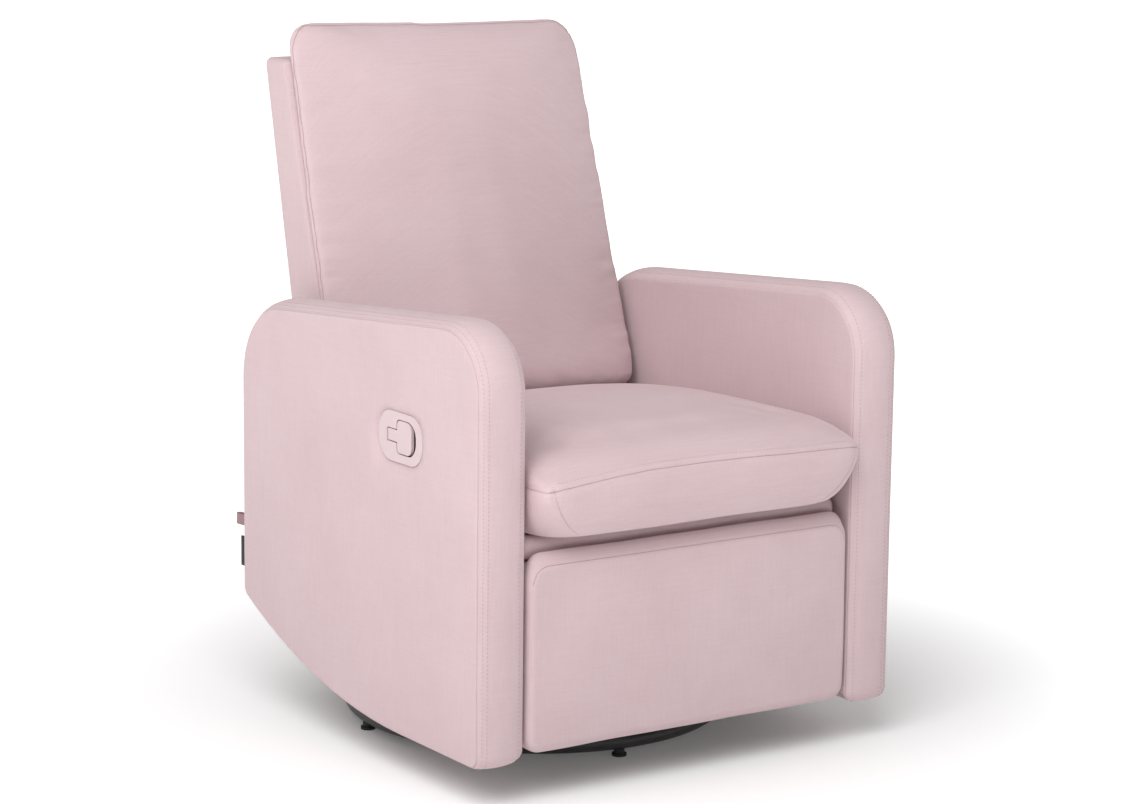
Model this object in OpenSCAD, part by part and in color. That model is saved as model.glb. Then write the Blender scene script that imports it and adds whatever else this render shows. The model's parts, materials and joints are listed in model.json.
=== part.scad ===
// Swivel glider recliner with upholstered arms, a boxed seat cushion and a fold-out footrest.
// +Z is up, the floor is z = 0, the front faces -Y, and "left" is the -X side.

/* [Overall] */
// Width over the two arms
overall_w = 730; // [700:5:780]
// Thickness of one upholstered arm
arm_t = 81; // [75:1:90]
// Front edge of the arms
arm_front_y = -359; // [-361:1:-355]
// Rear edge of the arms
arm_rear_y = 312; // [308:1:320]
// Clearance between the arms and what sits between them
side_gap = 3; // [2:0.5:5]

/* [Arms] */
// Lowest edge of an arm above the floor
arm_bottom_z = 61; // [56:1:66]
// Height of the arm's top line at its front edge
arm_top_z = 676; // [660:1:690]
// Fall of the top line towards the rear, as a slope
arm_top_slope = 0.08; // [0:0.01:0.1]
// Radius of the front top corner
arm_front_r = 88; // [60:1:110]
// Radius of the rear top corner
arm_rear_r = 120; // [80:1:140]
// Radius of the long curve under the arm
arm_rocker_r = 1000; // [950:10:1200]
// Thickness of foam and cover around the arm frame
arm_pad_t = 12; // [10:1:16]

/* [Seat cushion] */
// Front face of the seat cushion
seat_front_y = -409; // [-415:1:-400]
// Rear face of the seat cushion
seat_rear_y = 148; // [140:1:150]
// Underside of the seat cushion
seat_bottom_z = 378; // [377:1:382]
// Height of the cushion's top near the front
seat_top_front_z = 502; // [490:1:510]
// Height of the cushion's top at the rear
seat_top_rear_z = 468; // [460:1:475]

/* [Back] */
// Height of the top of the back cushion
back_top_z = 1036; // [1020:1:1040]
// Rear upper edge of the back frame
back_rear_y = 409; // [400:1:415]

/* [Footrest] */
// Length of one footrest link between its end pivots
link_len = 200; // [190:1:205]
// Angle between a link and the direction of travel when closed
link_angle = 80; // [78:1:82]
// Upward tilt of the footrest's direction of travel
travel_tilt = 6; // [4:1:6]
// Thickness of the upholstered footrest
footrest_t = 45; // [42:1:46]
// Lower edge of the footrest
footrest_bottom_z = 71; // [70:1:80]
// Upper edge of the footrest
footrest_top_z = 341; // [335:1:342]

/* [Swivel base] */
// Distance of the swivel axis behind the origin
swivel_y = 46; // [40:1:50]
// Outer radius of the base ring
ring_r = 293; // [285:1:300]
// Radius of the ring's tube
ring_tube_r = 13; // [11:0.5:13]
// Height of the feet
foot_h = 10; // [8:0.5:12]
// Length of the glide links between pivots
glide_len = 110; // [105:1:112]
// Half the distance between the front and rear glide pivots
glide_half = 110; // [105:1:115]

/* [Release handle] */
// Centre of the handle along Y
handle_y = -157; // [-160:1:-152]
// Centre of the handle along Z
handle_z = 496; // [490:1:500]
// Length of the bezel
bezel_len = 118; // [116:1:122]
// Height of the bezel
bezel_h = 72; // [70:1:76]

/* [Hidden] */

round_fn = 48;
fine_fn = 24;
running_gap = 0.05;
skin_gap = 0.5;
cut = 1;

half_w = overall_w / 2;
inner_half = half_w - arm_t;
between_half = inner_half - side_gap;

// Steel and wood layers, measured from the middle plane to the inner face of each
plate_t = 4;
layer_rail = 258;
rail_t = 25;
layer_plate = layer_rail - plate_t;
layer_lift = layer_plate - plate_t - 2;
layer_cross = layer_lift - plate_t - 2;
layer_bracket = layer_cross - plate_t - 2;
pin_r = 5;

// Seat box
rail_bottom_z = 290;
rail_top_z = 345;
front_rail_y = -290;
front_rail_t = 25;
front_rail_z = 320;
rear_rail_y = 150;
rear_rail_t = 22;
rail_rear_end_y = rear_rail_y + rear_rail_t;
deck_bottom_z = 352;
deck_top_z = seat_bottom_z - 1;
deck_end_gap = 4;
front_roll_y = -335;

// Bolts that hold the arms to the seat rails
bolt_places = [-230, -60, 110];
bolt_z = 318;
bolt_r = 4;
bolt_hole_r = bolt_r + running_gap;
bolt_head_r = 8;
bolt_head_t = 4.9;

// Sinuous springs and their clips
spring_count = 5;
spring_pitch = 92;
spring_wire = 3.5;
clip_w = 18;
clip_len = 16;
clip_h = 6.5;
clip_sheet = 1;
clip_inset = 4;

// Panel and rail between the rear ends of the arms
rear_panel_y = 290;
rear_panel_t = 10;
rear_panel_bottom_z = 128;
rear_panel_h = 190;
panel_rail_y = 270;
panel_rail_h = 40;

// Swivel bearing
foot_turn = -7;
foot_count = 4;
foot_r = 8;
foot_pad_r = 11;
foot_pad_t = 4;
ball_count = 18;
nut_r = 15;
nut_t = 7;
beam_half_y = 30;
beam_window_x = 120;
beam_window = [50, 30];
bar_w = 30;
bar_bottom_z = foot_h + 3;
bar_top_z = bar_bottom_z + 20;
race_r = 62;
plate_r = 80;
bearing_plate_t = 4;
ball_r = 4;
lower_plate_z = bar_top_z;
ball_z = lower_plate_z + bearing_plate_t + ball_r;
upper_plate_z = ball_z + ball_r + running_gap;
beam_z = upper_plate_z + bearing_plate_t;
beam_h = 14;
post_r = 8;

// Glide linkage
glide_top_z = 195;
glide_low_z = glide_top_z - glide_len;
bracket_x = 186;
bracket_t = 6;
glide_link_x = 196;
glide_link_t = 5;
glide_link_w = 30;
glide_pin_end = 4;
bracket_knee_z = 115;
axle_r = 10;
window_low_z = 130;
window_high_z = 250;

// Recline pivot
recline_y = 232;
recline_z = 318;
recline_pin_r = 6;

// Footrest linkage: unit directions in the YZ plane, and its pivots when closed
travel = [-cos(travel_tilt), sin(travel_tilt)];
across = [sin(travel_tilt), cos(travel_tilt)];
link_w = 16;
upper_front = [-286, 305];
upper_rear = upper_front - 2 * link_len * cos(link_angle) * travel;
upper_mid = upper_rear + link_len * cos(link_angle) * travel;
lower_rear = upper_rear - link_len * sin(link_angle) * across;
lower_mid = upper_mid - link_len * sin(link_angle) * across;
lower_front = upper_front - link_len * sin(link_angle) * across;
rear_crossing = (upper_rear + lower_mid) / 2;
front_crossing = (upper_mid + lower_front) / 2;
torque_tube_r = 9;
footrest_front_y = arm_front_y - 5;
footrest_rear_y = footrest_front_y + footrest_t;
board_half = 262;
board_t = 14;
board_edge = 14;

// Back, in side view: the slab behind and the cushion in front
slab_bottom_z = 352;
slab_top_z = 985;
slab_rear_slope = 0.218;
slab_front_slope = 0.304;
slab_front_top_y = back_rear_y - 57;
slab_corner = 14;
slab_half = 270;
cushion_half_top = 264;
cushion_half_low = 280;
stile_t = 30;
stile_x = layer_lift - stile_t;
frame_d = 40;
frame_low_z = slab_bottom_z + 10;
frame_top_z = slab_top_z - 20;
rail_h = 60;
shell_t = 8;
back_front_top_y = 358;
back_rear_top_y = 392;
back_low_z = seat_top_rear_z + 4;
back_low_t = 58;
back_taper_z = 560;

// Handle
housing_depth = 36;
housing_wall = 3;
face_plate_t = 3.5;
paddle_t = 4.5;
paddle_gap = 1.5;
pull_z = handle_z + 1;
paddle_pin_x = -half_w + 5.7;
paddle_pin_y = handle_y + 29;
paddle_pin_r = 2;
stem_h = 20;
head_h = 50;
opening_front_y = handle_y - 42;
opening_rear_y = handle_y + 36.5;
head_rear_y = handle_y + 11;

// Tab and tag on the left arm's rear edge
tab_x = -half_w + 8;
tab_z = 276;
label_z = 212;

leg_black = [0.09, 0.09, 0.10];
steel_grey = [0.55, 0.56, 0.58];
pale_wood = [0.80, 0.66, 0.47];
fabric_pink = [0.88, 0.80, 0.81];
shade_pink = [0.82, 0.71, 0.72];

// ---------- helpers ----------

function arc(cx, cy, r, a0, a1, n) =
    [for (i = [0:n]) let (a = a0 + (a1 - a0) * i / n) [cx + r * cos(a), cy + r * sin(a)]];

// Draws a YZ outline and gives it thickness along X
module across_x(x0, x1) {
    translate([x0, 0, 0]) rotate([90, 0, 90]) linear_extrude(x1 - x0) children();
}

// The same outline on both sides of the middle plane
module both_sides(x0, x1) {
    across_x(x0, x1) children();
    across_x(-x1, -x0) children();
}

module one_side(side, x0, x1) {
    if (side > 0) across_x(x0, x1) children();
    else across_x(-x1, -x0) children();
}

module rod_x(r, x0, x1, y, z) {
    translate([x0, y, z]) rotate([0, 90, 0]) cylinder(r = r, h = x1 - x0, $fn = round_fn);
}

module rod_z(r, z0, z1, x, y) {
    translate([x, y, z0]) cylinder(r = r, h = z1 - z0, $fn = round_fn);
}

// Flat bar with round ends from p to q
module bar_2d(p, q, w) {
    d = q - p;
    translate(p) rotate(atan2(d[1], d[0])) polygon(concat(
        arc(norm(d), 0, w / 2, -90, 90, 16), arc(0, 0, w / 2, 90, 270, 16)));
}

module rounded_rect(w, h, r) {
    polygon(concat(
        arc(w / 2 - r, h / 2 - r, r, 0, 90, 8),
        arc(-w / 2 + r, h / 2 - r, r, 90, 180, 8),
        arc(-w / 2 + r, -h / 2 + r, r, 180, 270, 8),
        arc(w / 2 - r, -h / 2 + r, r, 270, 360, 8)));
}

// ---------- swivel base ----------

module base_ring() {
    color(leg_black) translate([0, swivel_y, foot_h + ring_tube_r])
        rotate_extrude($fn = 96) translate([ring_r - ring_tube_r, 0]) circle(r = ring_tube_r, $fn = 32);
}

module at_feet() {
    for (i = [0:foot_count - 1]) translate([0, swivel_y, 0]) rotate(foot_turn + 360 / foot_count * i)
        translate([ring_r - ring_tube_r, 0, 0]) children();
}

module base_cross_bars() {
    bar_reach = ring_r - 2 * ring_tube_r + 3;
    color(leg_black) translate([0, swivel_y, bar_bottom_z]) difference() {
        for (i = [0:1]) rotate(foot_turn + 90 * i)
            translate([-bar_reach, -bar_w / 2, 0]) cube([2 * bar_reach, bar_w, bar_top_z - bar_bottom_z]);
        translate([0, 0, -cut]) cylinder(r = post_r, h = bar_top_z, $fn = round_fn);
    }
}

module base_feet() {
    color([0.05, 0.05, 0.05]) at_feet() {
        cylinder(r = foot_pad_r, h = foot_pad_t, $fn = fine_fn);
        cylinder(r = foot_r, h = foot_h + 2, $fn = fine_fn);
    }
}

module bearing_lower_plate() {
    color(steel_grey) translate([0, swivel_y, lower_plate_z]) difference() {
        cylinder(r = plate_r, h = bearing_plate_t, $fn = round_fn);
        translate([0, 0, -cut])
            cylinder(r = post_r + running_gap, h = bearing_plate_t + 2 * cut, $fn = round_fn);
    }
}

module bearing_balls() {
    color([0.75, 0.75, 0.76]) for (i = [0:ball_count - 1]) translate([0, swivel_y, ball_z])
        rotate(360 / ball_count * i) translate([race_r, 0, 0]) sphere(r = ball_r, $fn = fine_fn);
}

module swivel_post() {
    color(steel_grey) translate([0, swivel_y, 0]) {
        translate([0, 0, bar_bottom_z])
            cylinder(r = post_r, h = beam_z + beam_h + nut_t + 1 - bar_bottom_z, $fn = round_fn);
        translate([0, 0, beam_z + beam_h + 1]) cylinder(r = nut_r, h = nut_t, $fn = 6);
    }
}

// ---------- turntable ----------

module bearing_upper_plate() {
    color(steel_grey) translate([0, swivel_y, upper_plate_z]) difference() {
        cylinder(r = plate_r, h = bearing_plate_t, $fn = round_fn);
        translate([0, 0, -cut])
            cylinder(r = post_r + running_gap, h = bearing_plate_t + 2 * cut, $fn = round_fn);
    }
}

module turntable_beams() {
    color(leg_black) difference() {
        translate([-bracket_x, swivel_y - beam_half_y, beam_z])
            cube([2 * bracket_x, 2 * beam_half_y, beam_h]);
        translate([0, swivel_y, beam_z - cut])
            cylinder(r = post_r + running_gap, h = beam_h + 2 * cut, $fn = round_fn);
        for (s = [-1, 1])
            translate([s * beam_window_x - beam_window[0] / 2, swivel_y - beam_window[1] / 2, beam_z - cut])
                cube([beam_window[0], beam_window[1], beam_h + 2 * cut]);
    }
}

module glide_bracket(side) {
    edge = 14;
    knee = beam_half_y + 10;
    end = glide_half + edge;
    color(leg_black) difference() {
        one_side(side, bracket_x, bracket_x + bracket_t) translate([swivel_y, 0]) polygon([
            [-beam_half_y, beam_z], [beam_half_y, beam_z], [knee, bracket_knee_z],
            [end, glide_top_z - edge], [end, glide_top_z + edge], [-end, glide_top_z + edge],
            [-end, glide_top_z - edge], [-knee, bracket_knee_z]]);
        for (s = [-1, 1]) rod_x(pin_r, -half_w, half_w, swivel_y + s * glide_half, glide_top_z);
    }
}

module left_glide_bracket() glide_bracket(-1);
module right_glide_bracket() glide_bracket(1);

module glide_top_pins() {
    color(steel_grey) for (s = [-1, 1], t = [-1, 1]) {
        x_in = bracket_x - glide_pin_end;
        x_out = glide_link_x + glide_link_t + glide_pin_end;
        rod_x(pin_r, t > 0 ? x_in : -x_out, t > 0 ? x_out : -x_in, swivel_y + s * glide_half, glide_top_z);
    }
}

module glide_links(y) {
    color(steel_grey) difference() {
        both_sides(glide_link_x, glide_link_x + glide_link_t)
            bar_2d([y, glide_top_z], [y, glide_low_z], glide_link_w);
        rod_x(pin_r + running_gap, -half_w, half_w, y, glide_top_z);
        rod_x(axle_r + running_gap, -half_w, half_w, y, glide_low_z);
    }
}

module rear_glide_links() glide_links(swivel_y + glide_half);
module front_glide_links() glide_links(swivel_y - glide_half);

// ---------- seat frame ----------

module glide_axles() {
    color(leg_black) for (s = [-1, 1])
        rod_x(axle_r, -layer_rail, layer_rail, swivel_y + s * glide_half, glide_low_z);
}

module mechanism_plate(side) {
    rear_y = swivel_y + glide_half;
    front_y = swivel_y - glide_half;
    edge = 18;
    top_z = rail_top_z - 5;
    front_top_y = upper_rear[0] - 16;
    color(leg_black) difference() {
        one_side(side, layer_plate, layer_rail) polygon([
            [front_top_y, upper_rear[1] - 14], [front_y - edge, glide_low_z - 8],
            [front_y, glide_low_z - edge], [rear_y, glide_low_z - edge], [rear_y + edge, glide_low_z - 8],
            [recline_y + edge, recline_z - 6], [recline_y + 8, recline_z + 16],
            [recline_y - 12, recline_z + 16], [rail_rear_end_y - 20, top_z], [front_top_y, top_z]]);
        for (s = [-1, 1]) rod_x(axle_r, -half_w, half_w, swivel_y + s * glide_half, glide_low_z);
        for (y = bolt_places) rod_x(bolt_hole_r, -half_w, half_w, y, bolt_z);
        rod_x(recline_pin_r, -half_w, half_w, recline_y, recline_z);
        rod_x(pin_r, -half_w, half_w, upper_rear[0], upper_rear[1]);
        across_x(-half_w, half_w) polygon([[front_y + 30, window_low_z], [rear_y - 30, window_low_z],
            [rear_y - 30, window_high_z], [front_y + 10, window_high_z]]);
    }
}

module left_mechanism_plate() mechanism_plate(-1);
module right_mechanism_plate() mechanism_plate(1);

module seat_rail(side) {
    color(pale_wood) difference() {
        one_side(side, layer_rail, layer_rail + rail_t) polygon([
            [front_rail_y, rail_bottom_z], [rail_rear_end_y, rail_bottom_z],
            [rail_rear_end_y, rail_top_z], [front_rail_y, rail_top_z]]);
        for (y = bolt_places) rod_x(bolt_hole_r, -half_w, half_w, y, bolt_z);
    }
}

module left_seat_rail() seat_rail(-1);
module right_seat_rail() seat_rail(1);

module front_rail() {
    color(pale_wood) translate([-layer_rail, front_rail_y, front_rail_z])
        cube([2 * layer_rail, front_rail_t, rail_top_z - front_rail_z]);
}

module rear_rail() {
    color(pale_wood) translate([-layer_rail + plate_t, rear_rail_y, rail_bottom_z])
        cube([2 * (layer_rail - plate_t), rear_rail_t, rail_top_z - rail_bottom_z]);
}

// One sinuous wire in plan, from y0 to y1
module sinuous_2d(y0, y1, swing, waves) {
    n = waves * 12;
    mid = [for (i = [0:n]) [swing * sin(360 * waves * i / n), y0 + (y1 - y0) * i / n]];
    side = [for (i = [0:n]) let (a = mid[max(i - 1, 0)], b = mid[min(i + 1, n)], d = b - a)
        [-d[1], d[0]] / norm(d) * spring_wire / 2];
    polygon(concat([for (i = [0:n]) mid[i] + side[i]], [for (i = [n:-1:0]) mid[i] - side[i]]));
}

module seat_springs() {
    color(steel_grey) for (i = [0:spring_count - 1])
        translate([(i - (spring_count - 1) / 2) * spring_pitch, 0, rail_top_z + 1])
            linear_extrude(spring_wire) sinuous_2d(front_rail_y + 10, rear_rail_y + 12, 24, 9);
}

module spring_clips() {
    color([0.2, 0.2, 0.21]) for (i = [0:spring_count - 1], end = [0, 1])
        translate([(i - (spring_count - 1) / 2) * spring_pitch - clip_w / 2,
            (end > 0 ? rear_rail_y : front_rail_y) + clip_inset, rail_top_z])
            difference() {
                cube([clip_w, clip_len, clip_h]);
                translate([-cut, end > 0 ? -cut : clip_sheet, clip_sheet])
                    cube([clip_w + 2 * cut, clip_len - clip_sheet + cut, clip_h - 2 * clip_sheet]);
            }
}

module seat_deck() {
    color(shade_pink) translate([-between_half, front_rail_y + deck_end_gap, deck_bottom_z]) cube([
        2 * between_half, seat_rear_y - front_rail_y - 2 * deck_end_gap, deck_top_z - deck_bottom_z]);
}

module seat_cushion() {
    low_r = 34;
    top_r = 40;
    front_drop = 6;
    crown_front = 120;
    crown_rear = 160;
    crown_h = 16;
    color(fabric_pink) across_x(-between_half, between_half) polygon(concat(
        arc(seat_front_y + low_r, seat_bottom_z + low_r, low_r, 270, 180, 10),
        arc(seat_front_y + top_r, seat_top_front_z - top_r - front_drop, top_r, 180, 100, 10),
        [[seat_front_y + crown_front, seat_top_front_z],
         [seat_rear_y - crown_rear, seat_top_rear_z + crown_h],
         [seat_rear_y, seat_top_rear_z], [seat_rear_y, seat_bottom_z]]));
}

// Padded fabric roll over the front rail, under the cushion
module front_rail_pad() {
    pad_r = 9;
    low_z = deck_bottom_z + 2;
    top_z = deck_top_z - 2;
    rear_y = front_rail_y + deck_end_gap - 1;
    color(shade_pink) across_x(-between_half, between_half) polygon(concat(
        arc(front_roll_y + pad_r, low_z + pad_r, pad_r, 270, 180, 6),
        arc(front_roll_y + pad_r + 4, top_z - pad_r, pad_r, 180, 90, 6),
        [[rear_y, top_z], [rear_y, low_z]]));
}

module rear_panel() {
    color(shade_pink) translate([-between_half, rear_panel_y, rear_panel_bottom_z])
        cube([2 * between_half, rear_panel_t, rear_panel_h]);
}

module rear_panel_rail() {
    color(pale_wood) translate([-between_half, panel_rail_y, rear_panel_bottom_z])
        cube([2 * between_half, rear_panel_y - panel_rail_y - skin_gap, panel_rail_h]);
}

// ---------- arms ----------

// Side view of an arm, pulled in by d all round
module arm_outline(d) {
    yf = arm_front_y + d;
    yr = arm_rear_y - d;
    zb = arm_bottom_z + d;
    zt = arm_top_z - d;
    rf = arm_front_r - d;
    rr = arm_rear_r - d;
    tip = 14;
    lean = sqrt(1 + arm_top_slope * arm_top_slope);
    top_normal = 90 - atan(arm_top_slope);
    rocker_y = -150;
    rocker_r = arm_rocker_r - d;
    rocker_end = asin((yr - 6 - rocker_y) / rocker_r);
    polygon(concat(
        arc(yf + tip, zb + tip, tip, 270, 180, 5),
        arc(yf + rf, zt - arm_top_slope * rf - rf * lean, rf, 180, top_normal, 12),
        arc(yr - rr, zt - arm_top_slope * (yr - rr - yf) - rr * lean, rr, top_normal, 0, 14),
        [[yr, zb + rocker_r * (1 - cos(rocker_end)) + 8]],
        arc(rocker_y, zb + rocker_r, rocker_r, -90 + rocker_end, -90, 12)));
}

module arm_frame(side) {
    board_in = inner_half + arm_pad_t + skin_gap;
    board_out = half_w - arm_pad_t - skin_gap;
    panel_t = 15;
    rim_w = 38;
    color(pale_wood) difference() {
        one_side(side, board_in, board_out) arm_outline(arm_pad_t + skin_gap);
        one_side(side, board_in + panel_t, board_out + cut) arm_outline(arm_pad_t + rim_w);
        if (side < 0) across_x(-half_w, -board_in - panel_t) handle_outline(4);
        for (y = bolt_places) rod_x(bolt_hole_r, -half_w, half_w, y, bolt_z);
    }
}

module left_arm_frame() arm_frame(-1);
module right_arm_frame() arm_frame(1);

module handle_outline(grow) {
    translate([handle_y, handle_z])
        rounded_rect(bezel_len - 16 + 2 * grow, bezel_h - 16 + 2 * grow, 24 + grow);
}

module bezel_outline(grow) {
    translate([handle_y, handle_z]) rounded_rect(bezel_len + 2 * grow, bezel_h + 2 * grow, 32 + grow);
}

module arm_pad(side) {
    color(fabric_pink) difference() {
        one_side(side, inner_half, half_w) arm_outline(0);
        one_side(side, inner_half + arm_pad_t, half_w - arm_pad_t) arm_outline(arm_pad_t);
        if (side < 0) {
            across_x(-half_w - cut, -half_w + 30) handle_outline(skin_gap);
            across_x(-half_w - cut, -half_w + 4) bezel_outline(skin_gap);
        }
        for (y = bolt_places) rod_x(bolt_hole_r, -inner_half - arm_t / 2, inner_half + arm_t / 2, y, bolt_z);
    }
}

module left_arm_pad() arm_pad(-1);
module right_arm_pad() arm_pad(1);

module arm_bolts() {
    tip_x = inner_half + arm_pad_t + 14;
    head_x = layer_plate - skin_gap / 5;
    color([0.3, 0.3, 0.31]) for (y = bolt_places, turn = [0, 180]) rotate([0, turn, 0])
        translate([0, y, turn > 0 ? -bolt_z : bolt_z]) rotate([0, 90, 0]) {
            translate([0, 0, head_x - 1]) cylinder(r = bolt_r, h = tip_x - head_x + 1, $fn = round_fn);
            translate([0, 0, head_x - bolt_head_t])
                cylinder(r = bolt_head_r, h = bolt_head_t, $fn = round_fn);
        }
}

module recline_pins() {
    x_in = layer_lift - 3;
    x_out = layer_rail + 4;
    color(steel_grey) for (s = [-1, 1])
        rod_x(recline_pin_r, s > 0 ? x_in : -x_out, s > 0 ? x_out : -x_in, recline_y, recline_z);
}

module footrest_pivot_pins() {
    color(steel_grey) for (s = [-1, 1])
        rod_x(pin_r, s > 0 ? layer_lift : -layer_rail, s > 0 ? layer_rail : -layer_lift,
            upper_rear[0], upper_rear[1]);
}

// ---------- release handle, in the left arm ----------

// Outline of the T-shaped opening, pulled in by d for the pull itself
module pull_outline(d, front_y, front_r) {
    stem_len = opening_rear_y - head_rear_y;
    head_len = head_rear_y - front_y;
    translate([head_rear_y - 4, pull_z - stem_h / 2 + d]) square([stem_len + 4 - 1.5 * d, stem_h - 2 * d]);
    translate([front_y, pull_z - head_h / 2 + d]) polygon(concat(
        arc(front_r, front_r, front_r, 180, 270, 8),
        arc(head_len - d - 8, 8, 8, 270, 360, 6),
        arc(head_len - d - 8, head_h - 2 * d - 8, 8, 0, 90, 6),
        arc(front_r, head_h - 2 * d - front_r, front_r, 90, 180, 8)));
}

module handle_housing() {
    face_x = -half_w;
    lug_t = 4;
    lug_w = 10;
    lug_z = (stem_h + lug_t) / 2;
    color(fabric_pink) difference() {
        union() {
            across_x(face_x, face_x + face_plate_t) bezel_outline(0);
            difference() {
                across_x(face_x, face_x + housing_depth) handle_outline(0);
                across_x(face_x + face_plate_t, face_x + housing_depth - housing_wall)
                    handle_outline(-housing_wall);
            }
            for (s = [-1, 1])
                translate([face_x + 1, paddle_pin_y - lug_w / 2, pull_z + s * lug_z - lug_t / 2])
                    cube([lug_w + 1, lug_w, lug_t]);
        }
        across_x(face_x - 1, face_x + face_plate_t + 0.1) pull_outline(0, opening_front_y, 22);
        rod_z(paddle_pin_r + running_gap, pull_z - lug_z - lug_t, pull_z + lug_z + lug_t,
            paddle_pin_x, paddle_pin_y);
    }
}

module handle_pin() {
    color(steel_grey) rod_z(paddle_pin_r, pull_z - stem_h / 2 - 4, pull_z + stem_h / 2 + 4,
        paddle_pin_x, paddle_pin_y);
}

// Torsion spring, one turn at each end of the pull's knuckle
module handle_spring() {
    turn_r = 3.3;
    turn_wire_r = 0.6;
    turn_z = 9.25;
    color(steel_grey) for (s = [-1, 1]) translate([paddle_pin_x, paddle_pin_y, pull_z + s * turn_z])
        rotate_extrude($fn = fine_fn) translate([turn_r, 0]) circle(r = turn_wire_r, $fn = 16);
}

// T-shaped pull: an upright grip and a stem that ends in a knuckle on the pin
module release_paddle() {
    face_x = -half_w + skin_gap;
    finger_gap = 13;
    knuckle_r = 4.5;
    knuckle_half = 7;
    color(fabric_pink) difference() {
        union() {
            across_x(face_x, face_x + paddle_t) pull_outline(paddle_gap, opening_front_y + finger_gap, 12);
            rod_z(knuckle_r, pull_z - knuckle_half, pull_z + knuckle_half, paddle_pin_x, paddle_pin_y);
        }
        rod_z(paddle_pin_r + running_gap, pull_z - stem_h, pull_z + stem_h, paddle_pin_x, paddle_pin_y);
    }
}

// Fabric tab and a plain tag sewn into the rear edge of the left arm
module pull_tab() {
    color(shade_pink) translate([tab_x, arm_rear_y, tab_z]) cube([3, 24, 17]);
}

module blank_label() {
    color(leg_black) translate([tab_x, arm_rear_y, label_z]) cube([2, 9, 46]);
}

// ---------- back ----------

function slab_rear(z) = back_rear_y - (slab_top_z - slab_corner - z) * slab_rear_slope;
function slab_front(z) = slab_front_top_y - (slab_top_z - z) * slab_front_slope;

module slab_outline(d) {
    zb = slab_bottom_z + d;
    zt = slab_top_z - d;
    polygon([[slab_front(zb) + d, zb], [slab_rear(zb) - d, zb],
        [slab_rear(zt - slab_corner) - d, zt - slab_corner], [slab_rear(zt) - d - slab_corner, zt],
        [slab_front(zt) + d, zt]]);
}

// The frame lies along the slab's front
module frame_outline(z0, z1) {
    inset = 9;
    polygon([[slab_front(z0) + inset, z0], [slab_front(z0) + inset + frame_d, z0],
        [slab_front(z1) + inset + frame_d, z1], [slab_front(z1) + inset, z1]]);
}

module back_stiles() {
    color(pale_wood) both_sides(stile_x, stile_x + stile_t) frame_outline(frame_low_z, frame_top_z);
}

module back_top_rail() {
    color(pale_wood) across_x(-stile_x, stile_x) frame_outline(frame_top_z - rail_h, frame_top_z);
}

module back_bottom_rail() {
    color(pale_wood) across_x(-stile_x, stile_x) frame_outline(frame_low_z, frame_low_z + rail_h);
}

// Sinuous springs from the bottom rail to the top rail, following the frame's lean
module back_springs() {
    z0 = frame_low_z + rail_h + 3;
    z1 = frame_top_z - rail_h - 5;
    lean = atan(slab_front_slope);
    run = (z1 - z0) / cos(lean);
    color(steel_grey) for (i = [-1.5:1.5]) translate([i * spring_pitch, slab_front(z0) + 25, z0])
        rotate([90 - lean, 0, 0]) linear_extrude(spring_wire) sinuous_2d(0, run, 22, 9);
}

module back_brackets() {
    edge = 16;
    top_z = slab_bottom_z + 120;
    color(leg_black) difference() {
        both_sides(layer_lift, layer_lift + plate_t) polygon([
            [recline_y - edge, recline_z - edge + 2], [recline_y + edge, recline_z - edge + 2],
            [recline_y + edge + 4, (slab_bottom_z + top_z) / 2], [slab_front(top_z) + 40, top_z],
            [slab_front(top_z) + 12, top_z], [slab_front(slab_bottom_z) + 14, slab_bottom_z + 2]]);
        rod_x(recline_pin_r + running_gap, -half_w, half_w, recline_y, recline_z);
    }
}

// Upholstered shell of the back, open underneath
module back_pad() {
    cavity_half = layer_lift + plate_t + 1;
    open_front_y = slab_front(slab_bottom_z) + shell_t;
    open_rear_y = slab_rear(slab_bottom_z) - shell_t;
    color(shade_pink) difference() {
        across_x(-slab_half, slab_half) slab_outline(0);
        across_x(-cavity_half, cavity_half) {
            slab_outline(shell_t);
            polygon([[open_front_y, slab_bottom_z - cut], [open_rear_y, slab_bottom_z - cut],
                [open_rear_y, slab_bottom_z + shell_t + cut], [open_front_y, slab_bottom_z + shell_t + cut]]);
        }
    }
}

// Loose back cushion in front of the shell: wide between the arms, narrower above
module back_cushion() {
    rear_low = slab_front(back_low_z) - skin_gap;
    color(fabric_pink) difference() {
        across_x(-cushion_half_low, cushion_half_low) polygon([
            [rear_low - back_low_t, back_low_z], [back_front_top_y - 16, back_top_z - 22],
            [back_front_top_y, back_top_z], [back_rear_top_y, back_top_z],
            [back_rear_top_y + 4, slab_top_z + 12],
            [slab_rear(slab_top_z) - slab_corner, slab_top_z + skin_gap],
            [slab_front(slab_top_z) - skin_gap, slab_top_z + skin_gap], [rear_low, back_low_z]]);
        for (s = [-1, 1]) rotate([90, 0, 0]) translate([0, 0, -overall_w])
            linear_extrude(2 * overall_w) polygon([
                [s * cushion_half_low, back_taper_z], [s * overall_w, back_taper_z],
                [s * overall_w, back_top_z + cut], [s * cushion_half_top, back_top_z + cut]]);
    }
}

// ---------- footrest ----------

// A bar on each side: it turns freely on the pins at "loose" and carries its own rivets at "fixed"
module link_pair(p, q, x0, loose, fixed) {
    difference() {
        both_sides(x0, x0 + plate_t) bar_2d(p, q, link_w);
        for (h = loose) rod_x(pin_r + running_gap, -half_w, half_w, h[0], h[1]);
        for (h = fixed) rod_x(pin_r, -half_w, half_w, h[0], h[1]);
    }
}

// A rivet on each side, reaching from x0 to x1
module rivet_pair(p, x0, x1) {
    color([0.7, 0.7, 0.71]) {
        rod_x(pin_r, x0, x1, p[0], p[1]);
        rod_x(pin_r, -x1, -x0, p[0], p[1]);
    }
}

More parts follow.
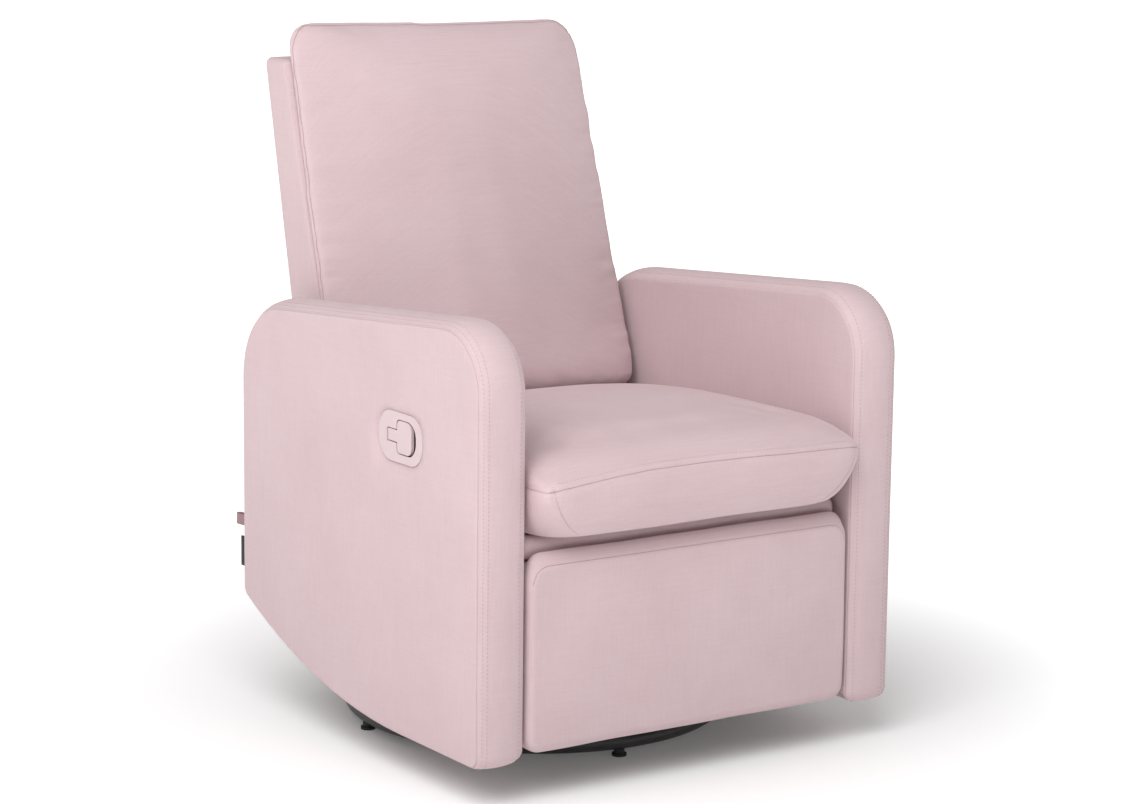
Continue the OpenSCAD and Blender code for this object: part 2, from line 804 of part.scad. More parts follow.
// From the fixed upper pivot down to the middle lower pivot
module rear_lift_bars() {
    color(steel_grey) link_pair(upper_rear, lower_mid, layer_lift, [upper_rear], [rear_crossing]);
}

// Ties the two rear lift bars so that both sides open together
module footrest_torque_tube() {
    color(leg_black) rod_x(torque_tube_r, -layer_lift, layer_lift, upper_rear[0], upper_rear[1]);
}

module rear_cross_bars() {
    color(steel_grey) link_pair(lower_rear, upper_mid, layer_cross, [rear_crossing], [upper_mid]);
}

module front_lift_bars() {
    color(steel_grey) link_pair(upper_mid, lower_front, layer_lift, [upper_mid], [front_crossing]);
}

module front_cross_bars() {
    color(steel_grey) link_pair(lower_mid, upper_front, layer_cross, [front_crossing], [upper_front]);
}

module rear_lift_rivets() rivet_pair(rear_crossing, layer_cross, layer_lift + plate_t);
module rear_cross_rivets() rivet_pair(upper_mid, layer_cross, layer_lift + plate_t);
module front_lift_rivets() rivet_pair(front_crossing, layer_cross, layer_lift + plate_t);
module front_cross_rivets() rivet_pair(upper_front, layer_bracket, layer_cross + plate_t);

module footrest_brackets() {
    color(leg_black) difference() {
        both_sides(layer_bracket, layer_bracket + plate_t) polygon([
            [footrest_rear_y, upper_front[1] - 70], [footrest_rear_y + 6, upper_front[1] - 70],
            [upper_front[0] + 9, upper_front[1] - 8], [upper_front[0] + 9, upper_front[1] + 8],
            [footrest_rear_y, upper_front[1] + 12]]);
        rod_x(pin_r + running_gap, -half_w, half_w, upper_front[0], upper_front[1]);
    }
}

module footrest_board() {
    color(pale_wood) translate([-board_half, footrest_rear_y - board_t, footrest_bottom_z + board_edge])
        cube([2 * board_half, board_t, footrest_top_z - footrest_bottom_z - 2 * board_edge]);
}

module footrest_pad() {
    r = 14;
    half = inner_half - 4;
    color(fabric_pink) difference() {
        across_x(-half, half) polygon(concat(
            arc(footrest_front_y + r, footrest_bottom_z + r, r, 270, 180, 6),
            arc(footrest_front_y + r, footrest_top_z - r, r, 180, 90, 6),
            [[footrest_rear_y, footrest_top_z - 4], [footrest_rear_y, footrest_bottom_z]]));
        translate([-board_half - skin_gap, footrest_rear_y - board_t - skin_gap,
            footrest_bottom_z + board_edge - skin_gap])
            cube([2 * (board_half + skin_gap), board_t + 2 * cut,
                footrest_top_z - footrest_bottom_z - 2 * (board_edge - skin_gap)]);
    }
}

base_ring();
base_cross_bars();
base_feet();
bearing_lower_plate();
bearing_balls();
swivel_post();
bearing_upper_plate();
turntable_beams();
left_glide_bracket();
right_glide_bracket();
glide_top_pins();
rear_glide_links();
front_glide_links();
glide_axles();
left_mechanism_plate();
right_mechanism_plate();
left_seat_rail();
right_seat_rail();
front_rail();
rear_rail();
seat_springs();
spring_clips();
seat_deck();
seat_cushion();
front_rail_pad();
rear_panel();
rear_panel_rail();
left_arm_frame();
right_arm_frame();
left_arm_pad();
right_arm_pad();
arm_bolts();
recline_pins();
footrest_pivot_pins();
handle_housing();
handle_pin();
handle_spring();
pull_tab();
blank_label();
back_stiles();
back_top_rail();
back_bottom_rail();
back_springs();
back_brackets();
back_pad();
back_cushion();
rear_lift_bars();
footrest_torque_tube();
rear_cross_bars();
front_lift_bars();
front_cross_bars();
rear_lift_rivets();
rear_cross_rivets();
front_lift_rivets();
front_cross_rivets();
footrest_brackets();
footrest_board();
footrest_pad();
release_paddle();
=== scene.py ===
"""Swivel glider recliner: upholstery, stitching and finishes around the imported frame. Units are metres."""
import json
import math

import bmesh
import bpy
import numpy as np
from mathutils import Matrix, Vector, noise
from mathutils.bvhtree import BVHTree
from mathutils.kdtree import KDTree


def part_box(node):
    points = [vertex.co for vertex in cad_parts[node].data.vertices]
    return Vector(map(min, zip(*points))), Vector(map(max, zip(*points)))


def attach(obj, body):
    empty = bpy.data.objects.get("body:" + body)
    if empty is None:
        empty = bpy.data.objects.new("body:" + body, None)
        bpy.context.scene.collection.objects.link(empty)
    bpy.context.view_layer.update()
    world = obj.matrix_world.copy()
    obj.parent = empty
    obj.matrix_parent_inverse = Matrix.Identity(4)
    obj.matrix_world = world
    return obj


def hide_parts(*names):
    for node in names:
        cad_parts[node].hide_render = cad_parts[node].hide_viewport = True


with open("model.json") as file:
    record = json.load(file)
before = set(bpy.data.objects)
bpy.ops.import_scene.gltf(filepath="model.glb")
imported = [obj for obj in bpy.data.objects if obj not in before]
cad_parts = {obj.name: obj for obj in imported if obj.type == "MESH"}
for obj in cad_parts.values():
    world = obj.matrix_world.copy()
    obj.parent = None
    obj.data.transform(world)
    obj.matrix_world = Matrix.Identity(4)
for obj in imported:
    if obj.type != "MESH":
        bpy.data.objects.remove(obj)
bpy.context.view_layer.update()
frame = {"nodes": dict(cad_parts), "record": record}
MM = 0.001


# ---------------------------------------------------------------- materials

def new_material(name, colour, roughness):
    """A node material and its Principled shader, with the constant values set on the shader itself."""
    material = bpy.data.materials.new(name)
    material.use_nodes = True
    shader = material.node_tree.nodes["Principled BSDF"]
    shader.inputs["Base Color"].default_value = (*colour, 1)
    shader.inputs["Roughness"].default_value = roughness
    return material, shader


def add(tree, kind, **settings):
    """A new node with its settings."""
    node = tree.nodes.new(kind)
    for key, value in settings.items():
        setattr(node, key, value)
    return node


def scaled_coordinates(tree, scale):
    """Object coordinates times scale, one factor for each axis."""
    place = add(tree, "ShaderNodeTexCoord")
    mapping = add(tree, "ShaderNodeMapping")
    mapping.inputs["Scale"].default_value = scale
    tree.links.new(place.outputs["Object"], mapping.inputs["Vector"])
    return mapping.outputs["Vector"]


def noise_value(tree, scale, detail=2.0, roughness=0.5):
    """Noise in object space, with one scale for each axis."""
    texture = add(tree, "ShaderNodeTexNoise")
    texture.inputs["Scale"].default_value = 1.0
    texture.inputs["Detail"].default_value = detail
    texture.inputs["Roughness"].default_value = roughness
    tree.links.new(scaled_coordinates(tree, scale), texture.inputs["Vector"])
    return texture.outputs["Fac"]


def math_node(tree, operation, a, b):
    """One arithmetic step on sockets or plain numbers."""
    node = add(tree, "ShaderNodeMath", operation=operation)
    for socket, value in zip(node.inputs, (a, b)):
        if isinstance(value, (int, float)):
            socket.default_value = value
        else:
            tree.links.new(value, socket)
    return node.outputs["Value"]


def mix(tree, *parts):
    """Weighted sum of values: each part is (value, weight)."""
    total = None
    for value, weight in parts:
        part = math_node(tree, "MULTIPLY", value, weight)
        total = part if total is None else math_node(tree, "ADD", total, part)
    return total


def ramp(tree, factor, stops):
    """Colour ramp through stops, each (position, colour)."""
    node = add(tree, "ShaderNodeValToRGB")
    elements = node.color_ramp.elements
    elements[0].position, elements[0].color = stops[0][0], (*stops[0][1], 1)
    elements[1].position, elements[1].color = stops[-1][0], (*stops[-1][1], 1)
    for position, colour in stops[1:-1]:
        elements.new(position).color = (*colour, 1)
    tree.links.new(factor, node.inputs["Fac"])
    return node.outputs["Color"]


def bump(tree, shader, height, strength, distance):
    """Fine relief from a height value."""
    node = add(tree, "ShaderNodeBump")
    node.inputs["Strength"].default_value = strength
    node.inputs["Distance"].default_value = distance
    tree.links.new(height, node.inputs["Height"])
    tree.links.new(node.outputs["Normal"], shader.inputs["Normal"])


THREAD_ALONG = 60.0
SLUB_ALONG, SLUB_ACROSS = 16.0, 620.0
MOTTLE = 7.0


def cloth_material(name, light, dark, thread=2100.0):
    """Plain woven cloth: threads along X, Y and Z, with slubs, a soft mottle and a light sheen."""
    material, shader = new_material(name, light, 0.88)
    tree = material.node_tree
    thread_scales = [tuple(THREAD_ALONG if axis == own else thread for axis in range(3)) for own in range(3)]
    slub_scales = [(SLUB_ALONG, SLUB_ALONG, SLUB_ACROSS), (SLUB_ACROSS, SLUB_ACROSS, SLUB_ALONG),
                   (SLUB_ALONG, SLUB_ACROSS, SLUB_ALONG)]
    weave = mix(tree, *((noise_value(tree, scale, 1.0), 1 / 3) for scale in thread_scales))
    slubs = mix(tree, *((noise_value(tree, scale, 1.5), 1 / 3) for scale in slub_scales))
    mottle = noise_value(tree, (MOTTLE,) * 3, 3.0)
    tone = mix(tree, (weave, 0.45), (slubs, 0.35), (mottle, 0.20))
    tree.links.new(ramp(tree, tone, [(0.35, dark), (0.65, light)]), shader.inputs["Base Color"])
    shader.inputs["Sheen Weight"].default_value = 0.25
    shader.inputs["Sheen Roughness"].default_value = 0.45
    shader.inputs["Sheen Tint"].default_value = (1.0, 0.93, 0.94, 1)
    shader.inputs["Specular IOR Level"].default_value = 0.25
    bump(tree, shader, mix(tree, (weave, 1.0), (slubs, 0.6)), 0.35, 0.0006)
    return material


def moulded_material(name, colour, roughness, grain=900.0, strength=0.15):
    """Moulded plastic with a fine spark-eroded grain and slight colour drift."""
    material, shader = new_material(name, colour, roughness)
    tree = material.node_tree
    fine = noise_value(tree, (grain,) * 3, 2.0)
    drift = noise_value(tree, (22.0,) * 3, 3.0)
    tone = mix(tree, (fine, 0.3), (drift, 0.7))
    darker = tuple(c * 0.93 for c in colour)
    tree.links.new(ramp(tree, tone, [(0.3, darker), (0.7, colour)]), shader.inputs["Base Color"])
    bump(tree, shader, fine, strength, 0.0003)
    return material


def metal_material(name, colour, roughness, metallic, streak=(30.0, 600.0, 600.0)):
    """Metal or powder coat: fine streaks or orange peel, scuffs that change the roughness."""
    material, shader = new_material(name, colour, roughness)
    shader.inputs["Metallic"].default_value = metallic
    tree = material.node_tree
    fine = noise_value(tree, streak, 2.0)
    worn = noise_value(tree, (35.0,) * 3, 5.0, 0.65)
    brighter = tuple(min(1.0, c * 1.25 + 0.01) for c in colour)
    tree.links.new(ramp(tree, worn, [(0.45, colour), (0.75, brighter)]), shader.inputs["Base Color"])
    rough = math_node(tree, "ADD", math_node(tree, "MULTIPLY", worn, 0.25), roughness - 0.12)
    tree.links.new(rough, shader.inputs["Roughness"])
    bump(tree, shader, fine, 0.12, 0.0003)
    return material


def wood_material(name, light, dark):
    """Plain sawn wood with rings stretched along the boards."""
    material, shader = new_material(name, light, 0.7)
    tree = material.node_tree
    wave = add(tree, "ShaderNodeTexWave", wave_type="RINGS", rings_direction="Y")
    wave.inputs["Scale"].default_value = 14.0
    wave.inputs["Distortion"].default_value = 5.0
    wave.inputs["Detail"].default_value = 3.0
    tree.links.new(scaled_coordinates(tree, (1.0, 0.12, 1.0)), wave.inputs["Vector"])
    fibre = noise_value(tree, (500.0, 18.0, 500.0), 2.0)
    tone = mix(tree, (wave.outputs["Fac"], 0.6), (fibre, 0.4))
    tree.links.new(ramp(tree, tone, [(0.2, dark), (0.8, light)]), shader.inputs["Base Color"])
    bump(tree, shader, fibre, 0.2, 0.0004)
    return material


PINK_LIGHT = (0.635, 0.495, 0.512)
PINK_DARK = (0.53, 0.395, 0.41)

materials = {
    "pink_fabric": cloth_material("pink_cloth", PINK_LIGHT, PINK_DARK),
    "pink_plastic": moulded_material("pink_plastic", (0.62, 0.485, 0.50), 0.42),
    "black_metal": metal_material("black_powder_coat", (0.030, 0.030, 0.032), 0.42, 0.0, (900.0,) * 3),
    "steel": metal_material("zinc_steel", (0.52, 0.52, 0.54), 0.35, 1.0),
    "spring_steel": metal_material("spring_wire", (0.20, 0.20, 0.22), 0.35, 1.0),
    "wood": wood_material("sawn_wood", (0.62, 0.45, 0.28), (0.44, 0.29, 0.16)),
    "black_plastic": moulded_material("black_feet", (0.018, 0.018, 0.019), 0.55),
    "black_fabric": cloth_material("black_tape", (0.03, 0.03, 0.032), (0.012, 0.012, 0.013), 1800.0),
}
thread_material = moulded_material("pink_thread", (0.47, 0.34, 0.355), 0.7, 2500.0, 0.3)
tape_material = cloth_material("pink_tape", (0.36, 0.22, 0.24), (0.26, 0.15, 0.165))
seam_material = cloth_material("pink_seam", (0.47, 0.34, 0.355), (0.38, 0.265, 0.28))


# ---------------------------------------------------------------- mesh helpers

def mesh_object(name, verts, faces, material):
    """A smooth-shaded object in the scene from points and faces."""
    mesh = bpy.data.meshes.new(name)
    mesh.from_pydata([tuple(v) for v in verts], [], [tuple(f) for f in faces])
    mesh.update()
    mesh.polygons.foreach_set("use_smooth", [True] * len(mesh.polygons))
    obj = bpy.data.objects.new(name, mesh)
    bpy.context.scene.collection.objects.link(obj)
    obj.data.materials.append(material)
    return obj


def loft(rings):
    """Closed skin over closed rings with equal counts; the first and last are drawn to their centres."""
    count = len(rings[0])
    verts = [p for ring in rings for p in ring]
    faces = []
    for row in range(len(rings) - 1):
        for i in range(count):
            j = (i + 1) % count
            faces.append((row * count + i, row * count + j, (row + 1) * count + j, (row + 1) * count + i))
    for row, flip in ((0, True), (len(rings) - 1, False)):
        centre = len(verts)
        verts.append(np.mean(rings[row], axis=0))
        for i in range(count):
            a, b = row * count + i, row * count + (i + 1) % count
            faces.append((b, a, centre) if flip else (a, b, centre))
    return verts, faces


def resample(points, count):
    """Closed polyline of count points, evenly spaced along the closed polyline points."""
    loop = np.vstack([points, points[:1]])
    step = np.linalg.norm(np.diff(loop, axis=0), axis=1)
    at = np.concatenate([[0], np.cumsum(step)])
    wanted = np.linspace(0, at[-1], count, endpoint=False)
    return np.column_stack([np.interp(wanted, at, loop[:, k]) for k in range(loop.shape[1])])


def outward_normals(loop):
    """Unit normals of a closed plane loop, pointing away from its middle."""
    tangent = np.roll(loop, -1, axis=0) - np.roll(loop, 1, axis=0)
    tangent /= np.linalg.norm(tangent, axis=1)[:, None]
    normal = np.column_stack([tangent[:, 1], -tangent[:, 0]])
    centre = loop.mean(axis=0)
    if ((loop - centre) * normal).sum() < 0:
        normal = -normal
    return normal


def smooth_loop(loop, passes):
    """A closed loop with its corners eased."""
    for _ in range(passes):
        loop = 0.5 * loop + 0.25 * (np.roll(loop, 1, axis=0) + np.roll(loop, -1, axis=0))
    return loop


def cad_face_outline(node, count):
    """The outline, in Y and Z, of a CAD node's outermost +X face."""
    points = np.array([v.co for v in frame["nodes"][node].data.vertices])
    face = np.unique(np.round(points[points[:, 0] > points[:, 0].max() - 1e-5][:, 1:], 6), axis=0)
    centre = (face.min(axis=0) + face.max(axis=0)) / 2
    order = np.argsort(np.arctan2(face[:, 1] - centre[1], face[:, 0] - centre[0]))
    return smooth_loop(resample(face[order], count), 2)


STITCH_LENGTH = 3.2 * MM
STITCH_GAP = 2.8 * MM


def stitch_line(name, points, normals, radius):
    """Short rounded threads along a line of points, lying on the surface that the normals come from."""
    points = np.array(points, float)
    normals = np.array(normals, float)
    step = np.linalg.norm(np.diff(points, axis=0), axis=1)
    at = np.concatenate([[0], np.cumsum(step)])
    verts, faces = [], []
    sides, slices = 6, ((-0.5, 0.35, -0.5), (-0.3, 1.0, 0.3), (0.3, 1.0, 0.3), (0.5, 0.35, -0.5))
    place = 0.5 * STITCH_LENGTH
    while place < at[-1] - 0.5 * STITCH_LENGTH:
        centre = np.array([np.interp(place, at, points[:, k]) for k in range(3)])
        ahead = np.array([np.interp(place + 0.001, at, points[:, k]) for k in range(3)])
        up = np.array([np.interp(place, at, normals[:, k]) for k in range(3)])
        along = ahead - centre
        along /= np.linalg.norm(along)
        up -= along * (up @ along)
        up /= np.linalg.norm(up)
        across = np.cross(along, up)
        first = len(verts)
        for shift, width, lift in slices:
            for k in range(sides):
                a = 2 * math.pi * k / sides
                verts.append(centre + along * shift * STITCH_LENGTH + across * radius * width * math.cos(a)
                             + up * radius * (width * math.sin(a) + lift))
        for row in range(len(slices) - 1):
            for k in range(sides):
                m = (k + 1) % sides
                faces.append((first + row * sides + k, first + row * sides + m,
                              first + (row + 1) * sides + m, first + (row + 1) * sides + k))
        faces.append(tuple(first + k for k in reversed(range(sides))))
        faces.append(tuple(first + (len(slices) - 1) * sides + k for k in range(sides)))
        place += STITCH_LENGTH + STITCH_GAP
    return mesh_object(name, verts, faces, thread_material)


def dress(obj, body, slot, *nodes):
    """obj rides on a body and stands for CAD nodes, which it hides. slot is not used."""
    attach(obj, body)
    if nodes:
        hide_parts(*nodes)
    return obj


# ---------------------------------------------------------------- soft simulation

VOXEL = 6 * MM
FRAMES = 20
CALM = 14
CLOTH = {"use_pressure": True, "quality": 5, "mass": 0.3, "tension_stiffness": 15,
         "compression_stiffness": 15, "shear_stiffness": 5, "bending_stiffness": 0.5,
         "vertex_group_mass": "hold"}


def apply_modifiers(obj):
    """Turns what the modifiers give into the object's own mesh."""
    graph = bpy.context.evaluated_depsgraph_get()
    mesh = bpy.data.meshes.new_from_object(obj.evaluated_get(graph))
    obj.modifiers.clear()
    obj.data = mesh


def remesh(obj, voxel):
    """Even closed mesh with faces of about one voxel."""
    modifier = obj.modifiers.new("remesh", "REMESH")
    modifier.mode = "VOXEL"
    modifier.voxel_size = voxel
    apply_modifiers(obj)


def relax(obj, passes):
    """Evens out the steps that the voxels leave."""
    modifier = obj.modifiers.new("relax", "SMOOTH")
    modifier.factor = 0.5
    modifier.iterations = passes
    apply_modifiers(obj)


def smooth_shading(obj):
    obj.data.polygons.foreach_set("use_smooth", [True] * len(obj.data.polygons))


def coordinates(obj):
    co = np.zeros(len(obj.data.vertices) * 3)
    obj.data.vertices.foreach_get("co", co)
    return co.reshape(-1, 3)


def set_coordinates(obj, co):
    obj.data.vertices.foreach_set("co", np.asarray(co).ravel())
    obj.data.update()


def vertex_normals(obj):
    normal = np.zeros(len(obj.data.vertices) * 3)
    obj.data.vertices.foreach_get("normal", normal)
    return normal.reshape(-1, 3)


def inflate(obj, pressure, cap, hold):
    """Stuffing: the closed skin is remeshed and swells under pressure as cloth, by at most cap.
    hold gives, for each point, how firmly it stays where it is, from 0 to 1. Smoothing takes out
    the voxel steps before, and the small creases after."""
    remesh(obj, VOXEL)
    relax(obj, 6 + CALM)
    before = coordinates(obj)
    group = obj.vertex_groups.new(name="hold")
    firmness = hold(before)
    for index in np.nonzero(firmness > 0.01)[0]:
        group.add([int(index)], float(firmness[index]), "REPLACE")
    modifier = obj.modifiers.new("cloth", "CLOTH")
    for setting, value in CLOTH.items():
        setattr(modifier.settings, setting, value)
    modifier.settings.uniform_pressure_force = pressure
    modifier.settings.effector_weights.gravity = 0
    modifier.collision_settings.use_collision = False
    scene = bpy.context.scene
    modifier.point_cache.frame_start = 1
    modifier.point_cache.frame_end = FRAMES
    for step in range(1, FRAMES + 1):
        scene.frame_set(step)
    apply_modifiers(obj)
    scene.frame_set(1)
    after = coordinates(obj)
    move = after - before
    length = np.linalg.norm(move, axis=1)
    limit = np.minimum(1, cap / np.maximum(length, 1e-9))
    set_coordinates(obj, before + move * limit[:, None])
    relax(obj, CALM)


def subdivide(obj):
    """One level of subdivision, and smooth shading."""
    modifier = obj.modifiers.new("subdivision", "SUBSURF")
    modifier.levels = modifier.render_levels = 1
    apply_modifiers(obj)
    smooth_shading(obj)


def groove(obj, line, depth, width):
    """Pulls the skin in along a seam line, as the stitches do."""
    tree = KDTree(len(line))
    for index, point in enumerate(line):
        tree.insert(point, index)
    tree.balance()
    co, normal = coordinates(obj), vertex_normals(obj)
    reach = 3.0 * width
    for i, point in enumerate(co):
        distance = tree.find(point)[2]
        if distance < reach:
            co[i] = point - normal[i] * depth * math.exp(-(distance / width) ** 2)
    set_coordinates(obj, co)


# ---------------------------------------------------------------- soft shapes

def rounded_rect_ring(x0, x1, v0, v1, radii, count=12, side=40):
    """Rounded rectangle in plan, with the same number of points whatever its size.
    radii go round from the corner at (x1, v0): one (rx, rv) pair for each corner."""
    corners = []
    places = [(x1, v0, -90), (x1, v1, 0), (x0, v1, 90), (x0, v0, 180)]
    for (cx, cv, start), (rx, rv) in zip(places, radii):
        mid = (cx - (rx if cx == x1 else -rx), cv - (rv if cv == v1 else -rv))
        angles = np.radians(np.linspace(start, start + 90, count))
        corners.append(np.column_stack([mid[0] + rx * np.cos(angles), mid[1] + rv * np.sin(angles)]))
    ring = []
    for index, corner in enumerate(corners):
        ring.append(corner)
        following = corners[(index + 1) % 4][0]
        steps = np.linspace(0, 1, side + 2)[1:-1, None]
        ring.append(corner[-1] + (following - corner[-1]) * steps)
    return np.vstack(ring)


def pillow(rect, corner_r, top, low, equator, reach_top, reach_low, lift=0, tuck=0, steps=8):
    """Rings of a boxed pad. rect is (x0, x1, v0, v1). corner_r is the plan radius at the equator and
    at the faces, for the v0 end and the v1 end. top, low and equator give heights at (x, v).
    reach_top and reach_low say how far in the edges round over, at the sides, the v0 end and the v1
    end; lift and tuck are the angles at which the two skins leave the equator."""
    x0, x1, v0, v1 = rect
    centre = np.array([(x0 + x1) / 2, (v0 + v1) / 2])

    def ring(reach, share, rise=1.0):
        radii = []
        for at_equator, at_face in (corner_r[0], corner_r[1], corner_r[1], corner_r[0]):
            size = max(at_equator + (at_face - at_equator) * rise, 3 * MM)
            radii.append((size, size))
        side, first, last = [r * share for r in reach]
        return rounded_rect_ring(x0 + side, x1 - side, v0 + first, v1 - last, radii)

    rings = []
    for surface, reach, start in ((low, reach_low, tuck), (top, reach_top, lift)):
        part = []
        inner = ring(reach, 1.0)
        for share in (0.06, 0.2, 0.35, 0.5, 0.65, 0.8, 0.92):
            points = centre + (inner - centre) * share
            part.append(np.column_stack([points, [surface(x, v) for x, v in points]]))
        first = math.radians(start)
        for turn in np.radians(np.linspace(90, start, steps)):
            rise = (math.sin(turn) - math.sin(first)) / (1 - math.sin(first))
            points = ring(reach, (math.cos(first) - math.cos(turn)) / math.cos(first), rise)
            height = [equator(x, v) + (surface(x, v) - equator(x, v)) * rise for x, v in points]
            part.append(np.column_stack([points, height]))
        rings += part if surface is low else part[:-1][::-1]
    return rings


def place_rings(rings, place):
    """Rings moved point by point."""
    return [np.array([place(*p) for p in ring]) for ring in rings]


def smoothstep(a, b, value):
    """0 at a and before, 1 at b and beyond, with a smooth change between; a may be above b."""
    t = min(1.0, max(0.0, (value - a) / (b - a)))
    return t * t * (3 - 2 * t)


def through(table, value):
    """A table of (at, height) rows read between its rows."""
    return float(np.interp(value, [row[0] for row in table], [row[1] for row in table]))


def orient(obj):
    """Turns all faces outward."""
    bm = bmesh.new()
    bm.from_mesh(obj.data)
    bmesh.ops.recalc_face_normals(bm, faces=bm.faces)
    bm.to_mesh(obj.data)
    bm.free()


def skin(name, rings):
    """Closed pink cloth over rings."""
    verts, faces = loft(rings)
    obj = mesh_object(name, verts, faces, materials["pink_fabric"])
    orient(obj)
    return obj


def settle(obj, seed, height=1.2 * MM, size=0.11):
    """The slow unevenness of cloth over foam."""
    co, normal = coordinates(obj), vertex_normals(obj)
    shift = Vector((seed * 3.1, seed * 1.7, seed * 2.3))
    waves = np.array([noise.noise(Vector(p) / size + shift) for p in co])
    set_coordinates(obj, co + normal * (waves * height)[:, None])


def tube(name, points, radius, material, closed=False):
    """A thin round cord along a line."""
    points = np.array(points, float)
    if closed:
        ahead, behind = np.roll(points, -1, axis=0), np.roll(points, 1, axis=0)
    else:
        ahead = np.vstack([points[1:], points[-1:]])
        behind = np.vstack([points[:1], points[:-1]])
    sides = 6
    verts, faces = [], []
    for point, along in zip(points, ahead - behind):
        along = along / np.linalg.norm(along)
        helper = np.array([0.0, 0.0, 1.0]) if abs(along[2]) < 0.8 else np.array([0.0, 1.0, 0.0])
        across = np.cross(along, helper)
        across /= np.linalg.norm(across)
        up = np.cross(across, along)
        for k in range(sides):
            a = 2 * math.pi * k / sides
            verts.append(point + radius * (math.cos(a) * across + math.sin(a) * up))
    rows = len(points) if closed else len(points) - 1
    for row in range(rows):
        following = (row + 1) % len(points)
        for k in range(sides):
            m = (k + 1) % sides
            faces.append((row * sides + k, row * sides + m, following * sides + m, following * sides + k))
    if not closed:
        faces.append(tuple(range(sides)))
        faces.append(tuple((len(points) - 1) * sides + k for k in range(sides)))
    return mesh_object(name, verts, faces, material)


def cast_line(obj, path, direction, step=3 * MM):
    """Drops a path onto a piece along a direction: the points where it lands, and their normals."""
    tree = BVHTree.FromObject(obj, bpy.context.evaluated_depsgraph_get())
    path = np.array(path, float)
    at = np.concatenate([[0], np.cumsum(np.linalg.norm(np.diff(path, axis=0), axis=1))])
    direction = Vector(direction).normalized()
    points, normals = [], []
    for place in np.linspace(0, at[-1], max(3, int(at[-1] / step))):
        start = Vector([np.interp(place, at, path[:, k]) for k in range(3)])
        landed, normal, _, _ = tree.ray_cast(start - direction, direction)
        if landed is not None:
            points.append(np.array(landed))
            normals.append(np.array(normal))
    return np.array(points), np.array(normals)


def nearest_line(obj, path, step=3 * MM):
    """The points of a piece that lie nearest to a path."""
    tree = BVHTree.FromObject(obj, bpy.context.evaluated_depsgraph_get())
    path = np.array(path, float)
    at = np.concatenate([[0], np.cumsum(np.linalg.norm(np.diff(path, axis=0), axis=1))])
    points = []
    for place in np.linspace(0, at[-1], max(3, int(at[-1] / step))):
        near = tree.find_nearest(Vector([np.interp(place, at, path[:, k]) for k in range(3)]))[0]
        points.append(np.array(near))
    return np.array(points)


def sew(obj, body, name, points, depth, width, thread):
    """A seam: the skin drawn in along the line, and the thread at the bottom of it."""
    groove(obj, points, depth, width)
    tree = KDTree(len(obj.data.vertices))
    co, normal = coordinates(obj), vertex_normals(obj)
    for index, place in enumerate(co):
        tree.insert(place, index)
    tree.balance()
    sunk = []
    for point in points:
        near = tree.find(point)[1]
        sunk.append(np.array(point) + normal[near] * ((co[near] - point) @ normal[near] + 0.2 * thread))
    cord = tube(name, smooth_line(np.array(sunk), 3), thread, seam_material)
    return dress(cord, body, "pink_fabric")


def smooth_line(points, passes):
    """An open line with its corners eased and its ends kept."""
    for _ in range(passes):
        middle = 0.5 * points[1:-1] + 0.25 * (points[:-2] + points[2:])
        points = np.vstack([points[:1], middle, points[-1:]])
    return points


# ---------------------------------------------------------------- arms

ARM_POINTS = 620
SIDE_FACE = 1.2 * MM
CORNER = 5.0 * MM
VALLEY = 1.6 * MM
EDGE = 14 * MM
WAVE = 1.8 * MM
FOOT_ROUND, FOOT_TUCK = 20 * MM, 16 * MM


def arm_profile(width):
    """Section of the arm's band from the outer seam to the inner seam: (distance from the outer
    face, outward offset, share of the crown)."""
    outer = [(SIDE_FACE, -EDGE, 0), (SIDE_FACE, -EDGE + 4 * MM, 0)]
    for angle in (0, 22, 38, 45, 52, 68, 90):
        r = CORNER - (VALLEY if angle == 45 else 0)
        a = math.radians(angle)
        outer.append((SIDE_FACE + CORNER - r * math.cos(a), -CORNER + r * math.sin(a), 0))
    band = []
    start, stop = SIDE_FACE + CORNER, width - SIDE_FACE - CORNER
    for u in (0.03, 0.07, 0.12, 0.19, 0.28, 0.39, 0.5, 0.61, 0.72, 0.81, 0.88, 0.93, 0.97):
        band.append((start + u * (stop - start), 0.0, (4 * u * (1 - u)) ** 0.62))
    inner = [(width - x, offset, 0) for x, offset, _ in reversed(outer)]
    return outer + band + inner


SEAM_ROW = 5
STITCH_ROWS = ((9, 0.3), (11, 0.4), (-12, 0.6))


def arm_crown(normal):
    """How far the band bulges: most on top, less at the front and the rear, least underneath."""
    up, forward, back = max(0.0, normal[1]), max(0.0, -normal[0]), max(0.0, normal[0])
    return (2.5 + 9.0 * up + 4.0 * forward + 3.0 * back) * MM


def hole_ring(outline, centre, size, radius):
    """For each outline point, the point of a rounded rectangle that lies towards it."""
    half_y, half_z = size[0] / 2, size[1] / 2
    hole = rounded_rect_ring(centre[0] - half_y, centre[0] + half_y, centre[1] - half_z, centre[1] + half_z,
                             [(radius, radius)] * 4, 24, 40)
    turn = np.arctan2(hole[:, 1] - centre[1], hole[:, 0] - centre[0])
    reach = np.linalg.norm(hole - centre, axis=1)
    order = np.argsort(turn)
    wanted = np.arctan2(outline[:, 1] - centre[1], outline[:, 0] - centre[0])
    distance = np.interp(wanted, turn[order], reach[order], period=2 * math.pi)
    return centre + np.column_stack([np.cos(wanted), np.sin(wanted)]) * distance[:, None]


